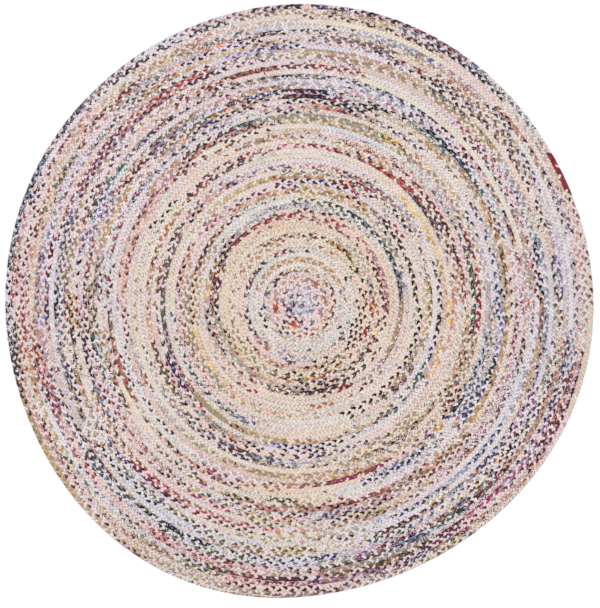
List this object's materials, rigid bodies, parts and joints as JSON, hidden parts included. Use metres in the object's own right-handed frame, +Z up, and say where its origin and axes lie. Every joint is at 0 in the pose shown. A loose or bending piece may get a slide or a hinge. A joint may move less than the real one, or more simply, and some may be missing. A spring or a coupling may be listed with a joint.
{
  "type": "round braided rug",
  "caption": "Round flat rug of one three-strand braid of multicoloured cloth strips, wound from the middle outwards and sewn round on round.",
  "frame": {"origin": "middle of the rug's outline, on its flat underside", "axes": "+Z up, through the rug's thickness; X and Y lie in the underside, and the braid's tail ends at the rim about 5 degrees from -Y, towards +X"},
  "size_m": [1.8221, 1.8415, 0.007],
  "materials": {
    "braided_cotton": "soft matt cotton, off-white and cream with flecks of many colours"
  },
  "bodies": {
    "root": {"braided_coil": "braided_cotton"}
  },
  "joints": []
}
